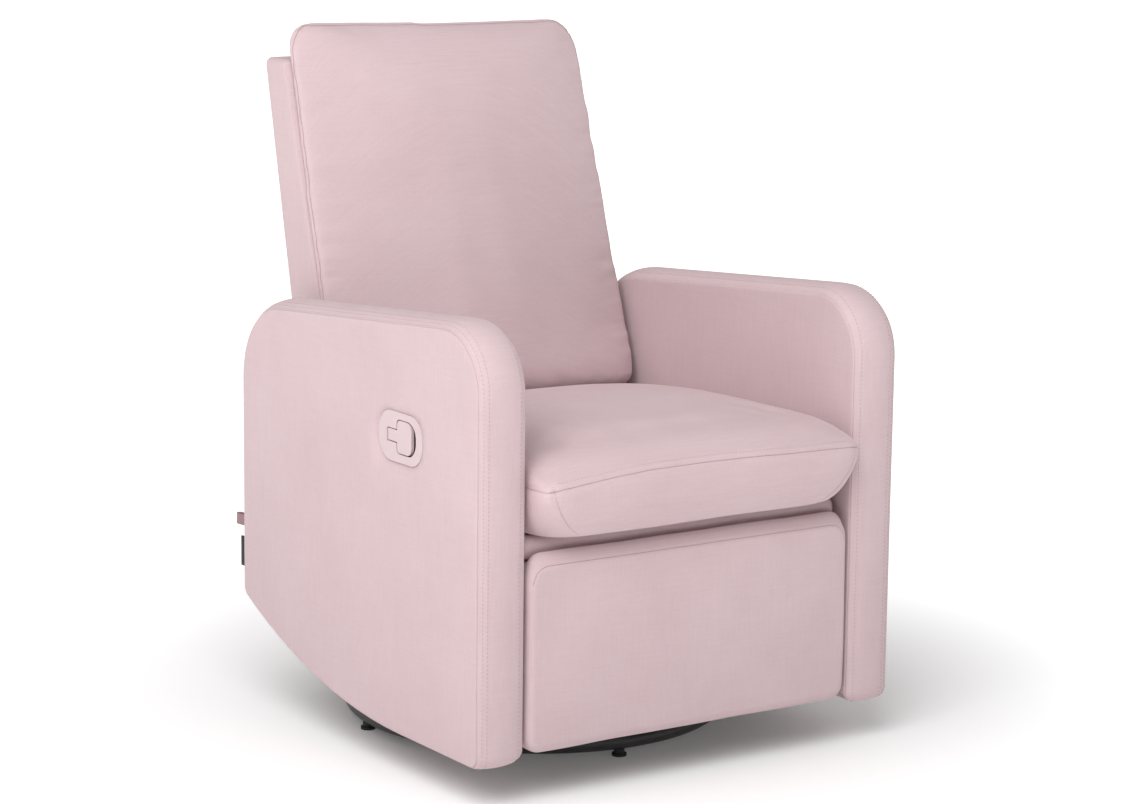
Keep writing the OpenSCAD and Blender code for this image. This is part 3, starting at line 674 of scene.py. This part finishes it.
def arm_cover(side, prefix, pad_node, hole_node=None):
    """Fabric over one arm: outer face, band all round and inner face, open behind the pull."""
    low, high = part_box(pad_node)
    outer_x = high.x if side > 0 else low.x
    width = high.x - low.x
    outline = cad_face_outline("right_arm_pad", ARM_POINTS)
    normals = smooth_loop(outward_normals(outline), 3)
    crown = np.array([arm_crown(n) for n in normals])
    foot = np.clip((low.z + FOOT_ROUND - outline[:, 1]) / FOOT_ROUND, 0, 1)
    foot *= np.clip((low.y + 0.10 - outline[:, 0]) / 0.05, 0, 1)
    tuck = FOOT_TUCK * (1 - np.sqrt(np.clip(1 - foot ** 2, 0, 1)))

    def ring(depth, offset, share):
        points = outline + normals * (offset + crown * share)[:, None]
        inward = np.clip((depth / width - 0.4) / 0.6, 0, 1)
        x = outer_x - side * (depth - tuck * inward)
        return np.column_stack([x, points])

    def flat_ring(depth, points, wave):
        bends = [noise.noise(Vector((y * 9, z * 9, side * 4.0))) for y, z in points]
        x = outer_x - side * (depth + wave * np.array(bends))
        return np.column_stack([x, points])

    start = outline - normals * EDGE
    centre = outline.mean(axis=0)
    if hole_node:
        hole_low, hole_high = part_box(hole_node)
        target = np.array([(hole_low.y + hole_high.y) / 2, (hole_low.z + hole_high.z) / 2])
        size = (hole_high.y - hole_low.y - 8 * MM, hole_high.z - hole_low.z - 8 * MM)
        goal = hole_ring(outline, target, size, size[1] * 0.44)
        deep = hole_high.x - hole_low.x + 2 * MM
        outside = [flat_ring(deep, goal, 0), flat_ring(SIDE_FACE + 2 * MM, goal, 0)]
    else:
        goal = centre + (outline - centre) * 0.03
        outside = []
    for share in (1.0, 0.9, 0.78, 0.64, 0.5, 0.36, 0.24, 0.14, 0.06):
        wave = 0.0 if share == 1.0 and hole_node else WAVE
        outside.append(flat_ring(SIDE_FACE, start + (goal - start) * share, wave))
    middle = [ring(depth, offset, share) for depth, offset, share in arm_profile(width)]
    inside = []
    for share in (0.08, 0.2, 0.4, 0.6, 0.8, 0.95):
        inside.append(flat_ring(width - SIDE_FACE, start + (centre - start) * share, 1.0 * MM))
    cover = skin(f"{prefix}_arm_cover", outside + middle + inside)
    dress(cover, "seat", "pink_fabric", pad_node)
    arm_seams(prefix, middle, normals)


def arm_seams(prefix, middle, normals):
    """The seam cords on both corners of the band, and the rows of stitches beside them."""
    up = np.column_stack([np.zeros(len(normals)), normals])
    for label, row in (("outer", SEAM_ROW), ("inner", len(middle) - 1 - SEAM_ROW)):
        cord = tube(f"{prefix}_arm_seam_{label}", middle[row] - up * 0.2 * MM, 0.6 * MM, seam_material, True)
        dress(cord, "seat", "pink_fabric")
    closed_up = np.vstack([up, up[:1]])
    for label, (row, share) in zip("abc", STITCH_ROWS):
        line = middle[row] * (1 - share) + middle[row + 1] * share
        closed_line = np.vstack([line, line[:1]])
        piece = stitch_line(f"{prefix}_arm_stitches_{label}", closed_line, closed_up, 0.5 * MM)
        dress(piece, "seat", "pink_fabric")


arm_cover(-1, "left", "left_arm_pad", "handle_housing")
arm_cover(1, "right", "right_arm_pad")


# ---------------------------------------------------------------- seat cushion

SEAT_SIDE_TOP = [(-0.409, 0.490), (-0.375, 0.495), (-0.349, 0.498), (-0.314, 0.500), (-0.273, 0.500),
                 (-0.203, 0.497), (-0.106, 0.490), (0.019, 0.478), (0.150, 0.461)]
SEAT_SEAM = [(-0.283, 0.451), (-0.221, 0.457), (-0.160, 0.463), (-0.099, 0.467), (0.0, 0.468),
             (0.092, 0.466), (0.157, 0.464), (0.283, 0.462)]
SEAT_CORNER = 14 * MM
SEAT_PRESSURE, SEAT_SWELL = 2.5, 6 * MM
GUSSET = [(0.262, 0.455), (0.259, 0.437), (0.249, 0.415), (0.232, 0.393), (0.208, 0.374)]


def seat_cushion():
    """The loose seat cushion: crowned, with pointed front corners drawn in below the seam."""
    low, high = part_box("seat_cushion")
    half, base = high.x, low.z - 3 * MM

    def top(x, y):
        across = min(1.0, abs(x) / half)
        crown = 22 * MM - 9 * MM * smoothstep(-0.12, -0.30, y)
        return through(SEAT_SIDE_TOP, y) + crown * (1 - across ** 2.6) - 4 * MM

    def under(x, y):
        return base

    def seam(x, y):
        behind = smoothstep(low.y, high.y, y)
        return through(SEAT_SEAM, x) * (1 - behind) + (high.z - 78 * MM) * behind

    rect = (low.x + 1 * MM, high.x - 1 * MM, low.y + 9 * MM, high.y)
    corners = ((SEAT_CORNER, 66 * MM), (16 * MM, 22 * MM))
    reach_top, reach_low = (22 * MM, 56 * MM, 16 * MM), (24 * MM, 26 * MM, 12 * MM)
    rings = pillow(rect, corners, top, under, seam, reach_top, reach_low, 20, -6)
    cushion = skin("seat_cushion_cover", rings)

    def hold(points):
        firm = np.zeros(len(points))
        for i, (x, y, z) in enumerate(points):
            below = 1.0 - smoothstep(0.0, 0.012, z - base)
            beside = smoothstep(0.95, 0.985, abs(x) / half) * smoothstep(low.y + 0.03, low.y + 0.07, y)
            behind = smoothstep(high.y - 0.03, high.y - 0.01, y)
            on_seam = 1.0 - smoothstep(4 * MM, 9 * MM, abs(z - seam(x, y)))
            on_seam *= 1.0 - smoothstep(low.y + 0.02, low.y + 0.04, y)
            firm[i] = max(below, beside, behind, on_seam)
        return firm

    inflate(cushion, SEAT_PRESSURE, SEAT_SWELL, hold)
    subdivide(cushion)
    settle(cushion, 1.0, 1.3 * MM, 0.14)
    seat_seams(cushion, rect, seam)
    dress(cushion, "seat", "pink_fabric", "seat_cushion")


def seat_seams(cushion, rect, seam):
    """The front seam, which runs round both corners, the gusset seams and a row of stitches."""
    x0, x1, front, _ = rect
    r = SEAT_CORNER
    turns = np.radians(np.linspace(0, 90, 7))
    bend = [(x1 - r + r * math.sin(a), front + r - r * math.cos(a)) for a in turns]
    bend.append((x1, front + 60 * MM))
    straight = [(x, front) for x in np.linspace(x0 + r, x1 - r, 40)]
    plan = [(-x, y) for x, y in reversed(bend)] + straight[1:-1] + bend
    points = nearest_line(cushion, [(x, y, seam(x, y)) for x, y in plan])
    sew(cushion, "seat", "seat_front_seam", points, 1.4 * MM, 5 * MM, 0.5 * MM)
    for side, label in ((-1, "left"), (1, "right")):
        gusset, _ = cast_line(cushion, [(side * x, front, z) for x, z in GUSSET], (0, 1, 0.25))
        sew(cushion, "seat", f"seat_gusset_{label}", gusset, 0.8 * MM, 5 * MM, 0.4 * MM)
    above = [(x, front - 30 * MM, seam(x, front) + 7 * MM) for x, _ in straight[1:-1]]
    points, normals = cast_line(cushion, above, (0, 1, 0))
    dress(stitch_line("seat_front_stitches", points, normals, 0.4 * MM), "seat", "pink_fabric")


seat_cushion()


# ---------------------------------------------------------------- back

def side_line(node, front):
    """A node's front or rear line in side view, from its lowest points to its highest: (y, z) twice."""
    points = np.array([v.co for v in frame["nodes"][node].data.vertices])
    ends = []
    for z in (points[:, 2].min(), points[:, 2].max()):
        level = points[np.abs(points[:, 2] - z) < 1e-4][:, 1]
        ends.append((level.min() if front else level.max(), z))
    return ends


(SHELL_LOW_Y, SHELL_LOW_Z), (SHELL_TOP_Y, SHELL_TOP_Z) = side_line("back_pad", True)
SHELL_SLOPE = (SHELL_TOP_Y - SHELL_LOW_Y) / (SHELL_TOP_Z - SHELL_LOW_Z)


def shell_y(z):
    """Where the front of the back's shell is, at a height."""
    return SHELL_TOP_Y + (z - SHELL_TOP_Z) * SHELL_SLOPE


BACK_HALF = [(0.60, 1.0), (0.68, 0.978), (0.95, 0.962), (1.036, 0.950)]
STRIP = 15 * MM
BACK_CORNERS = (24 * MM, 50 * MM)
BACK_PRESSURE, BACK_SWELL = 3.0, 9 * MM


def back_cushion():
    """The back cushion: crowned face, boxing strip and a seam all round."""
    low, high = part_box("back_cushion")
    half = high.x

    def top(x, z):
        across = min(1.0, abs(x) / half)
        crown = 30 * MM * (1 - across ** 2.4) * smoothstep(high.z + 0.02, high.z - 0.10, z)
        return STRIP + 8 * MM + crown + 8 * MM * smoothstep(0.56, 0.46, z)

    def under(x, z):
        return 0.6 * MM - 8 * MM * smoothstep(SHELL_TOP_Z + 2 * MM, SHELL_TOP_Z + 20 * MM, z)

    def place(x, z, t):
        fuller = 3 * MM + 7 * MM * smoothstep(0.05, -half, x)
        return (x * through(BACK_HALF, z), shell_y(z) - t, z + fuller * smoothstep(0.80, high.z, z))

    rect = (-half + 2 * MM, half - 2 * MM, low.z - 14 * MM, high.z - 2 * MM)
    below, above = BACK_CORNERS
    corners = ((below, below), (above, above))
    rings = pillow(rect, corners, top, under, lambda x, z: STRIP, (34 * MM, 30 * MM, 44 * MM),
                   (4 * MM, 6 * MM, 8 * MM), 40, -10)
    cushion = skin("back_cushion_cover", place_rings(rings, place))

    def hold(points):
        firm = np.zeros(len(points))
        for i, (x, y, z) in enumerate(points):
            t = shell_y(z) - y
            inside = abs(x) / (half * through(BACK_HALF, z))
            firm[i] = 1.0 - smoothstep(2 * MM, 10 * MM, t) * smoothstep(1.0, 0.93, inside)
            if z > SHELL_TOP_Z:
                firm[i] = min(firm[i], 1.0 - smoothstep(0.93, 0.99, z / high.z) * 0.6)
        return firm

    inflate(cushion, BACK_PRESSURE, BACK_SWELL, hold)
    subdivide(cushion)
    settle(cushion, 2.0, 1.5 * MM, 0.15)
    pucker(cushion, half)
    edge = rounded_rect_ring(*rect, [(r, r) for r in (below, above, above, below)], 16, 60)
    line = [place(x, z, STRIP + 3 * MM) for x, z in edge]
    points = nearest_line(cushion, line + line[:1])
    sew(cushion, "back", "back_cushion_seam", points, 1.6 * MM, 4.5 * MM, 0.6 * MM)
    dress(cushion, "back", "pink_fabric", "back_cushion")


def pucker(cushion, half):
    """Small creases across the edge seams, fading towards the middle of the face."""
    co, normal = coordinates(cushion), vertex_normals(cushion)
    for i, (x, y, z) in enumerate(co):
        edge = half * through(BACK_HALF, z) - abs(x)
        if edge > 0.09 or normal[i][1] > -0.3:
            continue
        fold = noise.noise(Vector((x * 6, z * 38, 0.0))) + 0.5 * noise.noise(Vector((x * 10, z * 90, 5.0)))
        near = math.exp(-((edge - 0.022) / 0.03) ** 2)
        co[i] = co[i] + normal[i] * 2.4 * MM * fold * near
    set_coordinates(cushion, co)


def back_shell():
    """The upholstered shell behind the back cushion."""
    low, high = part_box("back_pad")
    (rear_y, rear_z), _ = side_line("back_pad", False)
    points = np.array([v.co for v in frame["nodes"]["back_pad"].data.vertices])
    corner_z = points[points[:, 1] > high.y - 1e-4][:, 2].max()
    rear_slope = (high.y - rear_y) / (corner_z - rear_z)

    def behind(x, z):
        return rear_y + (z - rear_z) * rear_slope - shell_y(z)

    rect = (low.x, high.x, low.z, high.z)
    corners = ((14 * MM, 12 * MM), (10 * MM, 12 * MM))
    rings = pillow(rect, corners, behind, lambda x, z: 0.0, lambda x, z: behind(x, z) - 12 * MM,
                   (8 * MM, 6 * MM, 8 * MM), (3 * MM, 3 * MM, 3 * MM))
    shell = skin("back_shell_cover", place_rings(rings, lambda x, z, t: (x, shell_y(z) + t, z)))
    dress(shell, "back", "pink_fabric", "back_pad")


back_cushion()
back_shell()


# ---------------------------------------------------------------- footrest, front roll and rear panel

def footrest_cover():
    """The footrest panel, whose top edge slopes up to meet the roll under the cushion."""
    low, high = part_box("footrest_pad")
    depth = high.y - low.y

    def front(x, z):
        across = min(1.0, abs(x) / high.x)
        return depth + 1.5 * MM * (1 - across ** 4) * math.sin(math.pi * (z - low.z) / (high.z - low.z))

    rect = (low.x, high.x, low.z, high.z)
    corners = ((22 * MM, 20 * MM), (24 * MM, 24 * MM))
    rings = pillow(rect, corners, front, lambda x, z: 0.0, lambda x, z: depth - 11 * MM,
                   (9 * MM, 14 * MM, 2 * MM), (3 * MM, 3 * MM, 1 * MM))

    def place(x, z, t):
        slope = smoothstep(depth, depth - 18 * MM, t) * smoothstep(16 * MM, 25 * MM, t)
        return (x, high.y - t, z + 17 * MM * slope * smoothstep(high.z - 20 * MM, high.z, z))

    cover = skin("footrest_cover", place_rings(rings, place))
    remesh(cover, 4 * MM)
    subdivide(cover)
    settle(cover, 3.0, 1.2 * MM, 0.10)
    line = [(low.x + 5 * MM, low.y, high.z - 26 * MM), (low.x + 12 * MM, low.y, high.z - 9 * MM)]
    line += [(low.x + 26 * MM, low.y, high.z - 1 * MM), (high.x - 26 * MM, low.y, high.z - 1 * MM)]
    line += [(high.x - 12 * MM, low.y, high.z - 9 * MM), (high.x - 5 * MM, low.y, high.z - 26 * MM)]
    sew(cover, "footrest", "footrest_top_seam", nearest_line(cover, line), 1.2 * MM, 4 * MM, 0.5 * MM)
    dress(cover, "footrest", "pink_fabric", "footrest_pad")


def front_roll():
    """The seat deck with its padded front roll."""
    low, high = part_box("front_rail_pad")
    rect = (low.x, high.x, low.y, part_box("seat_deck")[1].y)
    corners = ((20 * MM, 18 * MM), (8 * MM, 8 * MM))
    drop = 10 * MM

    def under(x, y):
        return low.z - drop * smoothstep(low.y + 0.05, low.y + 0.01, y)

    rings = pillow(rect, corners, lambda x, y: high.z, under, lambda x, y: low.z + 2 * MM,
                   (10 * MM, 17 * MM, 6 * MM), (4 * MM, 4 * MM, 4 * MM))
    roll = skin("seat_deck_cover", rings)
    dress(roll, "seat", "pink_fabric", "front_rail_pad", "seat_deck")


def rear_panel_cover():
    """The flat panel between the arms, below the back."""
    low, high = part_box("rear_panel")
    rect = (low.x, high.x, low.z, high.z)
    corners = ((8 * MM, 8 * MM), (8 * MM, 8 * MM))
    thick = high.y - low.y
    rings = pillow(rect, corners, lambda x, z: thick, lambda x, z: 0.0, lambda x, z: thick / 2, (4 * MM,) * 3,
                   (2 * MM,) * 3)
    cover = skin("rear_panel_cover", place_rings(rings, lambda x, z, t: (x, low.y + t, z)))
    dress(cover, "seat", "pink_fabric", "rear_panel")


footrest_cover()
front_roll()
rear_panel_cover()


# ---------------------------------------------------------------- pull tab and blank label

def folded_tag(node, slot, material, bulge, stand, thick=0.8 * MM):
    """A strip of cloth folded back on itself and sewn into the arm's rear seam."""
    low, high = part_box(node)
    middle, half = (low.x + high.x) / 2, (high.x - low.x) / 2 - thick / 2
    start, stop = low.y - 2 * MM, high.y + stand - bulge
    out = []
    for share in np.linspace(0, 1, 12):
        out.append((half + (bulge - half) * smoothstep(0.1, 0.9, share), start + share * (stop - start)))
    bend = [(bulge * math.cos(a), stop + bulge * math.sin(a)) for a in np.radians(np.linspace(10, 170, 9))]
    path = np.array(out + bend + [(-x, y) for x, y in reversed(out)])
    levels = np.linspace(low.z, high.z, 8)
    verts = [(middle + x, y, z) for z in levels for x, y in path]
    count = len(path)
    faces = []
    for row in range(len(levels) - 1):
        for k in range(count - 1):
            first = row * count + k
            faces.append((first, first + 1, first + 1 + count, first + count))
    tag = mesh_object(f"{node}_cloth", verts, faces, material)
    modifier = tag.modifiers.new("thickness", "SOLIDIFY")
    modifier.thickness = thick
    modifier.offset = 0
    apply_modifiers(tag)
    smooth_shading(tag)
    dress(tag, "seat", slot, node)


folded_tag("pull_tab", "pink_fabric", tape_material, 4.5 * MM, 6 * MM)
folded_tag("blank_label", "black_fabric", materials["black_fabric"], 1.2 * MM, 10 * MM)


# ---------------------------------------------------------------- finishes on the CAD nodes

slots = {part["node"]: part["material_slot"] for part in frame["record"]["subparts"]}
for node, obj in frame["nodes"].items():
    obj.data.materials.clear()
    obj.data.materials.append(materials[slots[node]])


# ---------------------------------------------------------------- stage, light and camera

FLOOR_WHITE = 0.84
# Floor glow, painted light: faint under and near the chair, where it lightens the chair's shadow on the
# floor, and rising further out to whiten the background
FLOOR_SHADOW_GLOW = 0.08
FLOOR_GLOW = 0.78
FLOOR_FADE = (0.2, 1.7)
FLOOR_REACH = 30
WORLD_STRENGTH = 0.36
KEY_LOCATION = (-1.7, -1.7, 2.75)
KEY_TARGET = (0.1, 0, 0.6)
KEY_SIZE = 2.4
KEY_POWER = 73
OVERHEAD_FROM = (-0.65, -0.15, 1.0)
OVERHEAD_STRENGTH = 0.8
OVERHEAD_SPREAD = math.radians(50)
CAMERA_LOCATION = (-2.7172, -4.0708, 1.4130)
CAMERA_AZIMUTH, CAMERA_ELEVATION, CAMERA_ROLL = (math.radians(angle) for angle in (-33.86, 10.711, 0.661))
CAMERA_LENS, CAMERA_SENSOR = 105.88, 36


def glowing_floor_material():
    """White floor that glows: faintly under and near the chair, painted light that lightens the chair's
    shadow on it, and more strongly further out, so that it runs into a white background.
    """
    material, shader = new_material("studio_floor", (FLOOR_WHITE,) * 3, 0.9)
    tree = material.node_tree
    place = add(tree, "ShaderNodeTexCoord")
    distance = add(tree, "ShaderNodeVectorMath", operation="LENGTH")
    spread = add(tree, "ShaderNodeMapRange", interpolation_type="SMOOTHSTEP")
    ends = (*FLOOR_FADE, FLOOR_SHADOW_GLOW, FLOOR_GLOW)
    for name, value in zip(("From Min", "From Max", "To Min", "To Max"), ends):
        spread.inputs[name].default_value = value
    tree.links.new(place.outputs["Object"], distance.inputs[0])
    tree.links.new(distance.outputs["Value"], spread.inputs["Value"])
    # Emission: painted light that lightens the chair's shadow near the chair and whitens the floor further
    # out
    tree.links.new(spread.outputs["Result"], shader.inputs["Emission Strength"])
    shader.inputs["Emission Color"].default_value = (1, 1, 1, 1)
    return material


def aim(data, location, along, axis):
    """Puts a light in the scene with one of its axes along a direction."""
    light = bpy.data.objects.new(data.name, data)
    light.location = location
    light.rotation_euler = Vector(along).to_track_quat(axis, "Y").to_euler()
    bpy.context.scene.collection.objects.link(light)


floor_corners = [(x * FLOOR_REACH, y * FLOOR_REACH, 0) for x, y in ((-1, -1), (1, -1), (1, 1), (-1, 1))]
floor = mesh_object("studio_floor", floor_corners, [(0, 1, 2, 3)], glowing_floor_material())

world = bpy.data.worlds.new("studio")
world.use_nodes = True
background = world.node_tree.nodes["Background"]
background.inputs["Color"].default_value = (1, 1, 1, 1)
background.inputs["Strength"].default_value = WORLD_STRENGTH
bpy.context.scene.world = world
bpy.context.scene.view_settings.view_transform = "Standard"

key = bpy.data.lights.new("key", "AREA")
key.size = KEY_SIZE
key.energy = KEY_POWER
aim(key, KEY_LOCATION, Vector(KEY_TARGET) - Vector(KEY_LOCATION), "-Z")

overhead = bpy.data.lights.new("overhead", "SUN")
overhead.energy = OVERHEAD_STRENGTH
overhead.angle = OVERHEAD_SPREAD
aim(overhead, (0, 0, 0), OVERHEAD_FROM, "Z")

flat = math.cos(CAMERA_ELEVATION)
backward = Vector((math.sin(CAMERA_AZIMUTH) * flat, -math.cos(CAMERA_AZIMUTH) * flat,
                   math.sin(CAMERA_ELEVATION)))
level = (-backward).cross(Vector((0, 0, 1))).normalized()
upward = level.cross(-backward)
right = math.cos(CAMERA_ROLL) * level + math.sin(CAMERA_ROLL) * upward
upright = -math.sin(CAMERA_ROLL) * level + math.cos(CAMERA_ROLL) * upward
camera_data = bpy.data.cameras.new("camera")
camera_data.lens = CAMERA_LENS
camera_data.sensor_width = CAMERA_SENSOR
camera = bpy.data.objects.new("camera", camera_data)
camera.matrix_world = Matrix((right, upright, backward)).transposed().to_4x4()
camera.location = CAMERA_LOCATION
bpy.context.scene.collection.objects.link(camera)
bpy.context.scene.camera = camera
